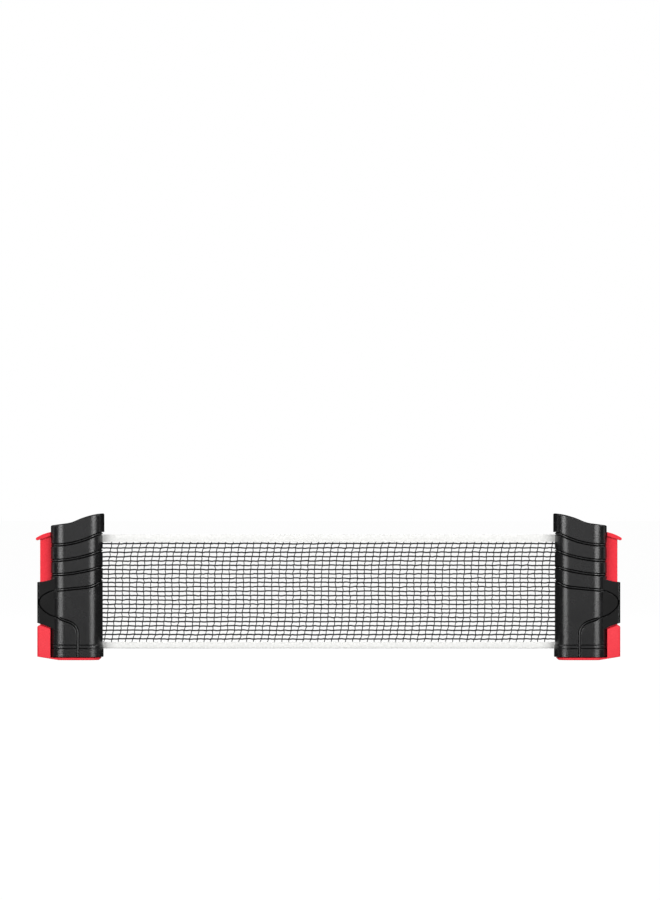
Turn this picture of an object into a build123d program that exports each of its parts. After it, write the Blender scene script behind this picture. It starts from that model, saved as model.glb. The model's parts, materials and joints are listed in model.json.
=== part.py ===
"""A retractable table tennis net: two spring-clamp posts with a roll-up net between them.

Millimetres, +Z up, X along the net, the near side at -Y, origin on the floor midway between the posts.
Each post is modelled on its own axes, with X outward from the face where the net comes out. It is then
set in its place: the end post as it is, the reel post mirrored.
"""

import os

from build123d import *

os.makedirs("parts", exist_ok=True)

# Overall
net_gap = 559.0  # free net between the posts as they stand
post_height = 182.0  # floor to the crest of the housing
post_depth = 48.0  # front to back
corner_radius = 20.0  # the housing's big rounded corners, seen from above
body_inner = 2.0  # inner edge of the housing, behind the cap's inner edge at 0
body_outer = 66.0  # outer edge, where the slider channel opens
form_outer = 67.5  # where the outer corners would meet if they weren't cut off at body_outer
shell_wall = 2.2
reach = 6.0  # how far cutters and guide lines run past the housing

# The wave along the top: crest, round crown, round saddle, straight fall
crest_end = 3.0
crest_fall = 5.0  # degrees
crown_radius, crown_turn = 92.0, 20.0
saddle_radius, saddle_turn = 50.0, 17.5
top_edge_round = 1.6

# Base cap
base_seam_height = 19.2
base_bottom = 3.8
base_floor = 8.0
base_proud = 1.0  # the base cap stands out this far at its inner edge
base_line_height, base_line_width, base_line_depth = 14.5, 0.9, 0.4
seam_gap, seam_gap_depth = 0.8, 0.8  # the shadow gap under the housing

# Grip and slider block: a wedge seen from above
wedge_root, wedge_root_half = 57.0, 20.0
wedge_outer, wedge_outer_half = 83.0, 11.5
wedge_round = 3.5
# Heights at the housing's outer edge, and the slopes from there to the wedge's outer face
grip_bottom, grip_bottom_rise = 39.0, 7.0
grip_top, grip_top_fall = 101.0, 4.5
grip_bow = 1.2  # how far the grip's top and bottom edges bow out

# Grooves around the housing
groove_width, groove_depth = 3.9, 1.2
groove_over = 3.0  # the cutters run out this far, past the cap's overhang
cap_seam_height = post_height - 25.0  # where the cap sits on the side, at the inner edge
cap_seam_flat = 3.0
cap_seam_dip_radius, cap_seam_turn = 15.0, 24.0
cap_seam_fall = 6.9
cap_seam_rise_radius = 115.0
# Two waves under the seam: start of the arc, how far under, fall there in degrees, and radius
side_waves = ((2.5, 20.9, 22.0, 172.0), (3.0, 41.1, 17.5, 215.0))
wave_end_fall = 1.0
# The lowest wave runs on as a thinner loop round the grip and down to the base
loop_start, loop_height, loop_fall = 3.0, grip_top - 3.3, 36.0
loop_dip_radius, loop_dip_turn = 40.0, 30.5
loop_level_run = 36.5
loop_shoulder_radius, loop_shoulder_turn = 33.0, 34.5
loop_nose_radius, loop_nose_turn = 10.0, 90.0
loop_belly_radius, loop_belly_turn = 35.0, 31.0
loop_return_run = 8.5
loop_groove_width, loop_groove_depth = 1.6, 0.8
drop_lead = 12.2
drop_radius = 17.0
drop_turn = 71.0

# Slider channel in the housing
channel_back = 57.2
channel_half = 9.4
channel_wall = 2.0
channel_outer = 79.9
channel_roof = post_height - 21.7

# Red slider
rail_clearance = 0.4
rail_back = 58.0
rail_half = channel_half - rail_clearance
rail_outer = channel_outer - rail_clearance
rail_wall = 2.2
rail_web = 2.5
rail_edge_round = 1.0
foot_thickness = 3.0
foot_inset = 1.6
foot_chamfer = 2.6
foot_edge = 0.6
foot_rise_start = 56.0
foot_rise = 4.1
block_gap = 0.4  # between the block and the housing, and between the block and the grip
block_peak, block_top_rise, block_top_drop = 79.2, 4.6, 1.3
block_edge = 0.9
lip_height = channel_roof - 1.4
lip_bend = 66.2  # outward of this the lip curves down
lip_fall = 9.0  # degrees, where the curve starts
lip_radius, lip_turn = 46.0, 24.0
lip_root_thickness, lip_tip_thickness = 4.8, 3.8
lip_nose = 0.45  # how far the lip's rounded end stands out, as a share of its thickness
rail_floor, rail_roof = 6.5, lip_height - 7.4  # the hollow in the rail
lip_half = 12.0
lip_round = 5.0

# Jaw pads
pad_gap = 0.3
lower_pad_height = 3.25
pad_sink = 1.6
pad_inner, pad_outer, pad_half, pad_round = 8.0, 53.0, 19.5, 8.0
pad_play = 0.15

# Jaw spring and its pins
spring_axis = 68.0
pin_radius = 1.5
anchor_height = 98.0
anchor_tail = 52.0  # inner end of the pin
anchor_head = 3.0  # how far it runs past the spring
hook_height = 18.0
hook_half = 11.0
spring_radius = 3.05
wire_radius = 0.45
spring_turns = 10
eye_radius = 2.35
pin_play = 0.05

# Screws
screw_places = (
    (12.0, post_height - 14.0),
    (49.0, post_height - 31.0),
    (49.0, grip_top - 1.0),
    (49.0, grip_bottom - 1.0),
)
screw_radius, screw_head_radius, screw_head = 1.45, 2.8, 2.0
screw_seat = 10.0  # where the heads seat, behind the middle
screw_tip = -12.0
boss_radius = 4.2
base_screw_place, base_screw_side = 44.0, 16.0
base_screw_top = 26.0
base_screw_head = 1.6
base_boss_top = 30.0

# Reel
spool_axis = 24.5
net_bottom, net_top = 13.8, cap_seam_height - 1.0
tape_bottom_width, tape_top_width = 8.3, 9.5
net_thickness, tape_thickness = 1.0, 1.6
slot_half = 1.7
slot_play = 0.6  # above and below the net
tube_radius, tube_wall = 7.0, 1.0
roll_radius = 16.0
arbor_radius = 2.0
journal_radius = 4.0
bearing_radius = 6.0
flange_radius = 18.5
flange_thickness = 1.6
flange_clearance = 0.3
plug_length = 12.0
shelf_thickness = 2.8
bearing_flange, bearing_flange_radius = 0.6, 7.5
running_play = 0.1
torsion_radius, torsion_wire, torsion_turns = 4.3, 0.5, 10
rod_radius, rod_place = 2.5, 8.2
rod_play = 0.3  # between the net's end and the rod
rod_seat, rod_seat_wall = 1.5, 2.0
arbor_seat = 1.5
net_clearance = 1.3  # from the reel's flanges to the net's edges

# The reel stands between the base cap and a shelf in the housing
bottom_flange_top = net_bottom - net_clearance
bottom_flange_under = bottom_flange_top - flange_thickness
top_flange_under = net_top + net_clearance
shelf_bottom = top_flange_under + flange_thickness + flange_clearance


# ---------------------------------------------------------------- outlines seen from above


def post_plan(inset=0.0, inner=body_inner):
    """The housing from above: big round corners, cut off square on the outer side."""
    length = form_outer - inner - 2 * inset
    with BuildSketch() as plan:
        with Locations(((inner + form_outer) / 2, 0)):
            RectangleRounded(length, post_depth - 2 * inset, corner_radius - inset)
        with Locations((body_outer - inset, 0)):
            Rectangle(
                2 * corner_radius,
                2 * post_depth,
                align=(Align.MIN, Align.CENTER),
                mode=Mode.SUBTRACT,
            )
    return plan.sketch


def wedge_plan(inset=0.0):
    """The grip and the slider block from above."""
    with BuildSketch() as plan:
        with BuildLine():
            Polyline(
                (wedge_root, -wedge_root_half),
                (wedge_outer, -wedge_outer_half),
                (wedge_outer, wedge_outer_half),
                (wedge_root, wedge_root_half),
                close=True,
            )
        make_face()
        fillet(plan.vertices().group_by(Axis.X)[-1], wedge_round)
        if inset:
            offset(amount=-inset)
    return plan.sketch


# ---------------------------------------------------------------- guide lines seen from the front


def falling(degrees):
    """Direction of a line that falls outward by so many degrees."""
    return Vector(1, 0).rotate(Axis.Z, -degrees)


with BuildLine() as top_wave:
    crest = Line((-reach, post_height), (crest_end, post_height))
    crown = JernArc(crest @ 1, falling(crest_fall), crown_radius, -crown_turn)
    saddle = JernArc(crown @ 1, crown % 1, saddle_radius, saddle_turn)
    Line(saddle @ 1, saddle @ 1 + saddle % 1 * 4 * reach)

with BuildLine() as cap_seam:
    level = Line((-reach, cap_seam_height), (cap_seam_flat, cap_seam_height))
    dip = JernArc(level @ 1, level % 1, cap_seam_dip_radius, -cap_seam_turn)
    fall = Line(dip @ 1, dip @ 1 + dip % 1 * cap_seam_fall)
    rise = JernArc(fall @ 1, fall % 1, cap_seam_rise_radius, cap_seam_turn - wave_end_fall)
    Line(rise @ 1, rise @ 1 + rise % 1 * 3 * reach)

side_wave_lines = []
for wave_start, wave_drop, wave_fall, wave_radius in side_waves:
    with BuildLine() as side_wave:
        head = Vector(wave_start, cap_seam_height - wave_drop)
        Line(head - falling(wave_fall) * reach, head)
        rise = JernArc(head, falling(wave_fall), wave_radius, wave_fall - wave_end_fall)
        Line(rise @ 1, rise @ 1 + rise % 1 * 2 * reach)
    side_wave_lines.append(side_wave.line)

with BuildLine() as loop_lead:
    head = Vector(loop_start, loop_height)
    Line(head - falling(loop_fall) * reach, head)
    dip = JernArc(head, falling(loop_fall), loop_dip_radius, loop_dip_turn)
    level = Line(dip @ 1, dip @ 1 + dip % 1 * loop_level_run)

with BuildLine() as grip_loop:
    shoulder = JernArc(level @ 1, level % 1, loop_shoulder_radius, -loop_shoulder_turn)
    nose = JernArc(shoulder @ 1, shoulder % 1, loop_nose_radius, -loop_nose_turn)
    belly = JernArc(nose @ 1, nose % 1, loop_belly_radius, -loop_belly_turn)
    loop_end = Line(belly @ 1, belly @ 1 + belly % 1 * loop_return_run)

with BuildLine() as drop:
    lead = Line(loop_end @ 1, loop_end @ 1 + loop_end % 1 * drop_lead)
    bend = JernArc(lead @ 1, lead % 1, drop_radius, drop_turn)
    Line(bend @ 1, Vector((bend @ 1).X, -reach))


# ---------------------------------------------------------------- cutters


def below(line):
    """Everything under a guide line, front to back."""
    start, end = line @ 0, line @ 1
    with BuildPart() as region:
        with BuildSketch(Plane.XZ):
            with BuildLine():
                add(line)
                Polyline(end, Vector(end.X, -reach), Vector(start.X, -reach), start)
            make_face()
        extrude(amount=post_depth, both=True)
    return region.part


def band(plan, inset):
    """The layer of even depth all round a form given by its plan, and what lies just outside it."""
    with BuildPart() as layer:
        with BuildSketch():
            add(plan(-groove_over))
            add(plan(inset), mode=Mode.SUBTRACT)
        extrude(amount=post_height)
    return layer.part


def channel(lines, width, layer):
    """A channel along front-view lines, cut into a layer."""
    with BuildPart() as groove:
        with BuildSketch(Plane.XZ):
            trace(lines, width)
        extrude(amount=post_depth, both=True)
        add(layer, mode=Mode.INTERSECT)
    return groove.part


def grip_side_plan(inset):
    """Housing and grip together, seen from above."""
    with BuildSketch() as plan:
        add(post_plan(inset))
        add(wedge_plan(inset))
    return plan.sketch


wide_lines = [cap_seam.line, *side_wave_lines, loop_lead.line, drop.line]
wide_grooves = channel(wide_lines, groove_width, band(post_plan, groove_depth))
loop_groove = channel([grip_loop.line], loop_groove_width, band(grip_side_plan, loop_groove_depth))

with BuildPart() as slider_channel:
    with Locations((channel_back, 0, 0)):
        Box(
            channel_outer - channel_back,
            2 * channel_half,
            2 * channel_roof,
            align=(Align.MIN, Align.CENTER, Align.CENTER),
        )

with BuildPart() as channel_walls:
    with Locations((channel_back - channel_wall, 0, 0)):
        Box(
            body_outer - channel_back + channel_wall,
            2 * (channel_half + channel_wall),
            2 * (channel_roof + shell_wall),
            align=(Align.MIN, Align.CENTER, Align.CENTER),
        )

with BuildPart() as net_slot:
    with Locations((-reach, 0, (net_bottom + net_top) / 2)):
        Box(
            reach + body_inner + shell_wall + base_proud,
            2 * slot_half,
            net_top - net_bottom + 2 * slot_play,
            align=(Align.MIN, Align.CENTER, Align.CENTER),
        )


# ---------------------------------------------------------------- housing, parted front from back

with BuildPart() as side_form:
    with BuildSketch(Plane.XY.offset(base_seam_height)):
        add(post_plan())
    extrude(amount=post_height)
    add(below(cap_seam.line), mode=Mode.INTERSECT)

with BuildPart() as cap_form:
    with BuildSketch(Plane.XY.offset(base_seam_height)):
        add(post_plan(inner=0.0))
    extrude(amount=post_height)
    add(below(top_wave.line), mode=Mode.INTERSECT)
    add(below(cap_seam.line), mode=Mode.SUBTRACT)
    crown_faces = cap_form.faces().filter_by(lambda face: face.normal_at().Z > 0.5)
    crown_edges = crown_faces.edges()
    rim = [edge for edge in crown_edges if crown_edges.count(edge) == 1]
    fillet(rim, top_edge_round)

with BuildPart() as grip_form:
    with BuildSketch(Plane.XZ):
        root = body_outer - wedge_root
        top_slope = grip_top_fall / (wedge_outer - body_outer)
        bottom_slope = grip_bottom_rise / (wedge_outer - body_outer)
        with BuildLine():
            top = SagittaArc(
                (wedge_outer, grip_top - grip_top_fall),
                (wedge_root, grip_top + root * top_slope),
                grip_bow,
            )
            bottom = SagittaArc(
                (wedge_root, grip_bottom - root * bottom_slope),
                (wedge_outer, grip_bottom + grip_bottom_rise),
                grip_bow,
            )
            Line(top @ 1, bottom @ 0)
            Line(bottom @ 1, top @ 0)
        make_face()
    extrude(amount=post_depth, both=True)
    with BuildSketch():
        add(wedge_plan())
    extrude(amount=post_height, mode=Mode.INTERSECT)

base_screw_places = [(base_screw_place, y) for y in (-base_screw_side, base_screw_side)]
base_web = post_depth / 2 - base_screw_side
base_web_middle = base_screw_side + base_web / 2

with BuildPart() as bosses:
    for x, z in screw_places:
        with Locations(Location((x, -post_depth / 2, z), (-90, 0, 0))):
            Cylinder(boss_radius, post_depth, align=(Align.CENTER, Align.CENTER, Align.MIN))
    for x, y in base_screw_places:
        with Locations((x, y, 0)):
            Cylinder(boss_radius, 2 * base_boss_top)
    # A web from each of those bosses out to the wall
    for y in (-base_web_middle, base_web_middle):
        with Locations((base_screw_place, y, 0)):
            Box(2 * boss_radius, base_web, 2 * base_boss_top)

with BuildPart() as shelf:
    with Locations((body_inner, 0, shelf_bottom)):
        Box(
            channel_back - body_inner,
            post_depth,
            shelf_thickness,
            align=(Align.MIN, Align.CENTER, Align.MIN),
        )

with BuildPart() as pin_boss:
    with Locations((anchor_tail - pin_radius, 0, anchor_height)):
        Box(
            channel_back - anchor_tail + pin_radius,
            4 * pin_radius,
            4 * pin_radius,
            align=(Align.MIN, Align.CENTER, Align.CENTER),
        )

with BuildPart() as hollow:
    with BuildSketch(Plane.XY.offset(base_seam_height)):
        add(post_plan(shell_wall))
    extrude(amount=post_height)
    add(below(top_wave.line).moved(Location((0, 0, -shell_wall))), mode=Mode.INTERSECT)
    for solid in (channel_walls, bosses, shelf, pin_boss, grip_form):
        add(solid.part, mode=Mode.SUBTRACT)

with BuildPart() as housing:
    for solid in (side_form, cap_form, grip_form):
        add(solid.part)
    for cut in (hollow.part, wide_grooves, loop_groove, slider_channel.part, net_slot.part):
        add(cut, mode=Mode.SUBTRACT)
    # Seats for the reel's bearing, the net's end rod and the spring's pin
    with Locations((spool_axis, 0, shelf_bottom)):
        Cylinder(bearing_radius + pin_play, 3 * shelf_thickness, mode=Mode.SUBTRACT)
    with Locations((rod_place, 0, shelf_bottom)):
        Cylinder(rod_radius + pin_play, 2 * rod_seat, mode=Mode.SUBTRACT)
    with Locations(Location((anchor_tail - pin_play, 0, anchor_height), (0, 90, 0))):
        Cylinder(
            pin_radius + pin_play,
            channel_back - anchor_tail + reach,
            align=(Align.CENTER, Align.CENTER, Align.MIN),
            mode=Mode.SUBTRACT,
        )
    # Screws from the rear, and up through the base cap
    with Locations(*(Location((x, post_depth / 2, z), (-90, 0, 0)) for x, z in screw_places)):
        CounterBoreHole(
            screw_radius + pin_play,
            screw_head_radius + running_play,
            post_depth / 2 - screw_seat,
            post_depth / 2 - screw_tip + 1,
        )
    with Locations(*base_screw_places):
        Cylinder(screw_radius + pin_play, 2 * (base_screw_top + 1), mode=Mode.SUBTRACT)

with BuildPart() as front_shell:
    add(housing.part)
    split(bisect_by=Plane.XZ, keep=Keep.TOP)

with BuildPart() as rear_shell:
    add(housing.part)
    split(bisect_by=Plane.XZ, keep=Keep.BOTTOM)

# ---------------------------------------------------------------- base cap: the fixed jaw

base_inner = body_inner - base_proud
bottom_bearing_top = bottom_flange_under - flange_clearance
base_seat_top = bottom_bearing_top - bearing_flange

with BuildPart() as base_hollow:
    with BuildSketch(Plane.XY.offset(base_floor)):
        add(post_plan(shell_wall, base_inner))
    extrude(amount=post_height)
    for solid in (channel_walls, bosses):
        add(solid.part, mode=Mode.SUBTRACT)
    with Locations((spool_axis, 0, base_seat_top)):
        Cylinder(
            bearing_radius + rod_seat_wall,
            2 * base_floor,
            align=(Align.CENTER, Align.CENTER, Align.MAX),
            mode=Mode.SUBTRACT,
        )
    with Locations((rod_place, 0, base_seat_top)):
        Cylinder(
            rod_radius + rod_seat_wall,
            2 * base_floor,
            align=(Align.CENTER, Align.CENTER, Align.MAX),
            mode=Mode.SUBTRACT,
        )

base_lines = (
    (base_line_height - base_line_width / 2, base_line_width, base_line_depth),
    (base_seam_height - seam_gap, seam_gap, seam_gap_depth),
)
with BuildPart() as base_line_rings:
    for bottom, width, depth in base_lines:
        with BuildSketch(Plane.XY.offset(bottom)):
            add(post_plan(-base_proud, base_inner))
            add(post_plan(depth, base_inner), mode=Mode.SUBTRACT)
        extrude(amount=width)

with BuildPart() as base_cap:
    with BuildSketch(Plane.XY.offset(base_bottom)):
        add(post_plan(inner=base_inner))
    extrude(amount=base_seam_height - base_bottom)
    for cut in (base_hollow, base_line_rings, slider_channel, net_slot):
        add(cut.part, mode=Mode.SUBTRACT)
    add(wide_grooves, mode=Mode.SUBTRACT)
    # Seats for the reel's lower bearing and arbor and for the net's end rod
    with Locations((spool_axis, 0, base_floor)):
        Cylinder(
            bearing_radius + pin_play,
            base_floor,
            align=(Align.CENTER, Align.CENTER, Align.MIN),
            mode=Mode.SUBTRACT,
        )
        Cylinder(arbor_radius + pin_play, 2 * arbor_seat, mode=Mode.SUBTRACT)
    with Locations((rod_place, 0, base_floor)):
        Cylinder(
            rod_radius + pin_play,
            base_floor,
            align=(Align.CENTER, Align.CENTER, Align.MIN),
            mode=Mode.SUBTRACT,
        )
    # Pocket for the rubber pad, and the screws that it covers
    pad_length = pad_outer - pad_inner
    pad_middle = (pad_inner + pad_outer) / 2
    with BuildSketch(Plane.XY.offset(base_bottom)):
        with Locations((pad_middle, 0)):
            RectangleRounded(
                pad_length + 2 * pad_play, 2 * (pad_half + pad_play), pad_round + pad_play
            )
    extrude(amount=pad_sink, mode=Mode.SUBTRACT)
    base_screw_spots = [(x, y, base_bottom + pad_sink) for x, y in base_screw_places]
    with Locations(*base_screw_spots):
        Cylinder(
            screw_head_radius + running_play,
            base_screw_head + pin_play,
            align=(Align.CENTER, Align.CENTER, Align.MIN),
            mode=Mode.SUBTRACT,
        )
        Cylinder(screw_radius + pin_play, 2 * base_seam_height, mode=Mode.SUBTRACT)

upper_pad_under = lower_pad_height + pad_gap


def make_pad(bottom, top):
    """A rubber jaw pad between two heights."""
    with BuildPart() as pad:
        with BuildSketch(Plane.XY.offset(bottom)):
            with Locations((pad_middle, 0)):
                RectangleRounded(pad_length, 2 * pad_half, pad_round)
        extrude(amount=top - bottom)
    return pad.part


upper_jaw_pad = make_pad(upper_pad_under, base_bottom + pad_sink)
lower_jaw_pad = make_pad(foot_thickness - pad_sink, lower_pad_height)

# ---------------------------------------------------------------- screws

with BuildPart() as shell_screws:
    with Locations(*(Location((x, screw_seat, z), (-90, 0, 0)) for x, z in screw_places)):
        Cylinder(screw_head_radius, screw_head, align=(Align.CENTER, Align.CENTER, Align.MIN))
        Cylinder(
            screw_radius,
            screw_seat - screw_tip,
            align=(Align.CENTER, Align.CENTER, Align.MAX),
        )

with BuildPart() as base_screws:
    with Locations(*base_screw_spots):
        Cylinder(screw_head_radius, base_screw_head, align=(Align.CENTER, Align.CENTER, Align.MIN))
        Cylinder(
            screw_radius,
            base_screw_top - base_bottom - pad_sink,
            align=(Align.CENTER, Align.CENTER, Align.MIN),
        )

# ---------------------------------------------------------------- red slider

foot_inner = body_inner + foot_inset
block_inner = body_outer + block_gap
block_inner_height = grip_bottom + block_gap * bottom_slope - block_gap
block_peak_height = block_inner_height + block_top_rise

with BuildLine() as lip_top:
    flat = Line((rail_back, lip_height), (lip_bend, lip_height))
    JernArc(flat @ 1, falling(lip_fall), lip_radius, -lip_turn)

with BuildPart() as foot_and_block:
    with BuildSketch(Plane.XZ):
        with BuildLine():
            Polyline(
                (foot_inner, foot_thickness),
                (foot_inner, foot_thickness - foot_edge),
                (foot_inner + foot_chamfer, 0),
                (foot_rise_start, 0),
                (wedge_outer, foot_rise),
                (wedge_outer, block_peak_height - block_top_drop),
                (block_peak, block_peak_height),
                (block_inner, block_inner_height),
                (block_inner, foot_thickness),
                close=True,
            )
        make_face()
    extrude(amount=post_depth, both=True)
    with BuildSketch():
        add(post_plan(foot_inset))
        add(wedge_plan())
    extrude(amount=post_height, mode=Mode.INTERSECT)
    block_faces = foot_and_block.faces().filter_by(
        lambda face: face.normal_at().Z > 0.5 and face.center().Z > foot_thickness + 1
    )
    block_edges = block_faces.edges()
    rim = [
        edge
        for edge in block_edges
        if block_edges.count(edge) == 1 and edge.center().X > block_inner + block_gap
    ]
    chamfer(rim, block_edge)

with BuildPart() as rail:
    with BuildSketch() as rail_section:
        with Locations((rail_back, 0)):
            Rectangle(rail_outer - rail_back, 2 * rail_half, align=(Align.MIN, Align.CENTER))
        fillet(rail_section.vertices().group_by(Axis.X)[-1], rail_edge_round)
    extrude(amount=post_height)
    add(below(lip_top.line), mode=Mode.INTERSECT)
    with BuildSketch(Plane.XZ):
        with BuildLine():
            Polyline(
                (foot_rise_start, 0),
                (wedge_outer, foot_rise),
                (wedge_outer, -reach),
                (foot_rise_start, -reach),
                close=True,
            )
        make_face()
    extrude(amount=post_depth, both=True, mode=Mode.SUBTRACT)

with BuildPart() as lip:
    with BuildSketch(Plane.XZ):
        with BuildLine():
            add(lip_top.line)
            tip = lip_top.line @ 1
            heading = lip_top.line % 1
            inward = heading.rotate(Axis.Z, -90)
            nose = ThreePointArc(
                tip,
                tip + (inward / 2 + heading * lip_nose) * lip_tip_thickness,
                tip + inward * lip_tip_thickness,
            )
            Polyline(
                nose @ 1,
                (block_inner, lip_height - lip_root_thickness),
                (rail_back, lip_height - lip_root_thickness),
                (rail_back, lip_height),
            )
        make_face()
    extrude(amount=post_depth, both=True)
    with BuildSketch() as lip_plan:
        with Locations((block_inner, 0)):
            Rectangle(
                tip.X + lip_tip_thickness - block_inner,
                2 * lip_half,
                align=(Align.MIN, Align.CENTER),
            )
        fillet(lip_plan.vertices().group_by(Axis.X)[-1], lip_round)
        with Locations((rail_back, 0)):
            Rectangle(rail_outer - rail_back, 2 * rail_half, align=(Align.MIN, Align.CENTER))
    extrude(amount=post_height, mode=Mode.INTERSECT)

with BuildPart() as jaw_slider:
    for solid in (foot_and_block, rail, lip):
        add(solid.part)
    # The rail is a channel, open towards the housing, that holds the spring
    with Locations((rail_back - reach, 0, rail_floor)):
        Box(
            rail_outer - rail_web - rail_back + reach,
            2 * (rail_half - rail_wall),
            rail_roof - rail_floor,
            align=(Align.MIN, Align.CENTER, Align.MIN),
            mode=Mode.SUBTRACT,
        )
    with BuildSketch(Plane.XY.offset(foot_thickness)):
        with Locations((pad_middle, 0)):
            RectangleRounded(
                pad_length + 2 * pad_play, 2 * (pad_half + pad_play), pad_round + pad_play
            )
    extrude(amount=-pad_sink, mode=Mode.SUBTRACT)
    with Locations(Location((spring_axis, 0, hook_height), (90, 0, 0))):
        Cylinder(pin_radius + pin_play, 2 * (hook_half + pin_play), mode=Mode.SUBTRACT)

# ---------------------------------------------------------------- jaw spring and its pins

with BuildPart() as spring_anchor_pin:
    with Locations(Location((anchor_tail, 0, anchor_height), (0, 90, 0))):
        Cylinder(
            pin_radius,
            spring_axis + anchor_head - anchor_tail,
            align=(Align.CENTER, Align.CENTER, Align.MIN),
        )

with BuildPart() as spring_hook_pin:
    with Locations(Location((spring_axis, 0, hook_height), (90, 0, 0))):
        Cylinder(pin_radius, 2 * hook_half)

coil_bottom = hook_height + eye_radius + 3 * wire_radius
coil_top = anchor_height - eye_radius - 3 * wire_radius


def make_coil(bottom, top, turns, radius, wire):
    """A helical spring of square wire about the Z axis."""
    with BuildPart() as coil:
        with BuildLine():
            Helix((top - bottom) / turns, top - bottom, radius, center=(0, 0, bottom))
        with BuildSketch(Plane((radius, 0, bottom), x_dir=(1, 0, 0), z_dir=(0, 1, 0))):
            Rectangle(2 * wire, 2 * wire)
        sweep(is_frenet=True)
    return coil.part


def make_eye():
    """A spring's eye of square wire, flat on the XY plane."""
    with BuildPart() as eye:
        with BuildSketch():
            Circle(eye_radius + wire_radius)
            Circle(eye_radius - wire_radius, mode=Mode.SUBTRACT)
        extrude(amount=wire_radius, both=True)
    return eye.part


with BuildPart() as jaw_spring:
    with Locations((spring_axis, 0, 0)):
        add(make_coil(coil_bottom, coil_top, spring_turns, spring_radius, wire_radius))
    # Crossbars and eyes at the two ends
    for z in (coil_bottom, coil_top):
        with Locations((spring_axis, 0, z)):
            Box(2 * spring_radius, 2 * wire_radius, 2 * wire_radius)
    with Locations(Location((spring_axis, 0, anchor_height), (0, 90, 0))):
        add(make_eye())
    with Locations(Location((spring_axis, 0, hook_height), (90, 0, 0))):
        add(make_eye())
    for z in (coil_bottom, coil_top):
        with Locations((spring_axis, 0, z)):
            Box(2 * wire_radius, 2 * wire_radius, 6 * wire_radius)

# ---------------------------------------------------------------- reel

journal_top = shelf_bottom + shelf_thickness + bearing_flange
rod_bottom = base_floor + pin_play
rod_top = shelf_bottom + rod_seat - pin_play


def make_bearing(bottom, top, flange_bottom):
    """A plain flanged bush about the Z axis, between two heights."""
    with BuildPart() as bearing:
        with Locations((0, 0, bottom)):
            Cylinder(bearing_radius, top - bottom, align=(Align.CENTER, Align.CENTER, Align.MIN))
        with Locations((0, 0, flange_bottom)):
            Cylinder(
                bearing_flange_radius,
                top - flange_bottom,
                align=(Align.CENTER, Align.CENTER, Align.MIN),
            )
        Cylinder(journal_radius + running_play, 4 * post_height, mode=Mode.SUBTRACT)
    return bearing.part


def make_plug(flange_height, journal_length):
    """An end plug of the reel: spigot up, flange, journal down, bored for the arbor."""
    with BuildPart() as plug:
        with BuildSketch(Plane.XZ):
            with BuildLine():
                Polyline(
                    (arbor_radius + running_play, -journal_length),
                    (journal_radius, -journal_length),
                    (journal_radius, 0),
                    (flange_radius, 0),
                    (flange_radius, flange_thickness),
                    (tube_radius - tube_wall - pin_play, flange_thickness),
                    (tube_radius - tube_wall - pin_play, flange_thickness + plug_length),
                    (arbor_radius + running_play, flange_thickness + plug_length),
                    close=True,
                )
            make_face()
        revolve(axis=Axis.Z)
    return plug.part.moved(Location((0, 0, flange_height)))


def on_reel(part):
    """A reel piece made about the Z axis, moved to the reel's axis."""
    return part.moved(Location((spool_axis, 0, 0)))


spool_bottom_bearing = on_reel(make_bearing(base_floor, bottom_bearing_top, base_seat_top))
spool_top_bearing = on_reel(make_bearing(shelf_bottom, journal_top, shelf_bottom + shelf_thickness))
bottom_journal = bottom_flange_under - base_floor - running_play
spool_bottom_plug = on_reel(make_plug(bottom_flange_under, bottom_journal))
top_journal = journal_top - top_flange_under - flange_thickness
spool_top_plug = on_reel(
    make_plug(0, top_journal)
    .rotate(Axis.X, 180)
    .moved(Location((0, 0, top_flange_under + flange_thickness)))
)

with BuildPart() as spool_arbor:
    with Locations((spool_axis, 0, base_floor - arbor_seat + pin_play)):
        Cylinder(
            arbor_radius,
            journal_top - base_floor + arbor_seat,
            align=(Align.CENTER, Align.CENTER, Align.MIN),
        )

with BuildPart() as spool_tube:
    with BuildSketch(Plane.XY.offset(bottom_flange_top)):
        with Locations((spool_axis, 0)):
            Circle(tube_radius)
            Circle(tube_radius - tube_wall, mode=Mode.SUBTRACT)
    extrude(amount=top_flange_under - bottom_flange_top)

torsion_bottom = bottom_flange_top + plug_length + flange_clearance + torsion_wire
torsion_top = top_flange_under - plug_length - flange_clearance - torsion_wire
with BuildPart() as retraction_spring:
    with Locations((spool_axis, 0, 0)):
        add(make_coil(torsion_bottom, torsion_top, torsion_turns, torsion_radius, torsion_wire))

with BuildPart() as net_roll:
    with BuildSketch(Plane.XY.offset(net_bottom)):
        with Locations((spool_axis, 0)):
            Circle(roll_radius)
            Circle(tube_radius + pin_play, mode=Mode.SUBTRACT)
    extrude(amount=net_top - net_bottom)

# ---------------------------------------------------------------- net

# From the slot the net runs straight to the roll, which it meets on its near side
lead_start = Vector(body_inner + shell_wall + tape_thickness / 2, 0)
lead_radius = roll_radius + (tape_thickness + flange_clearance) / 2
lead_span = spool_axis - lead_start.X
lead_length = (lead_span**2 - lead_radius**2) ** 0.5
lead_heading = Vector(lead_length, -lead_radius).normalized()
with BuildPart() as net_lead:
    with BuildSketch(Plane.XY.offset(net_bottom)):
        with BuildLine(mode=Mode.PRIVATE) as lead_line:
            Line(lead_start, lead_start + lead_heading * lead_length)
        trace(lead_line.line, net_thickness)
    extrude(amount=net_top - net_bottom)

with BuildPart() as net_end_rod:
    with Locations((rod_place, 0, rod_bottom)):
        Cylinder(
            rod_radius, rod_top - rod_bottom, align=(Align.CENTER, Align.CENTER, Align.MIN)
        )

half_gap = net_gap / 2
net_start = -half_gap - body_inner - shell_wall
net_end = half_gap + rod_place - rod_radius - rod_play


def make_net_strip(bottom, top, thickness):
    """A plain strip of the free net, from the reel post's slot to the end rod."""
    with BuildPart() as strip:
        with Locations((net_start, 0, bottom)):
            Box(
                net_end - net_start,
                thickness,
                top - bottom,
                align=(Align.MIN, Align.CENTER, Align.MIN),
            )
    return strip.part


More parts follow.
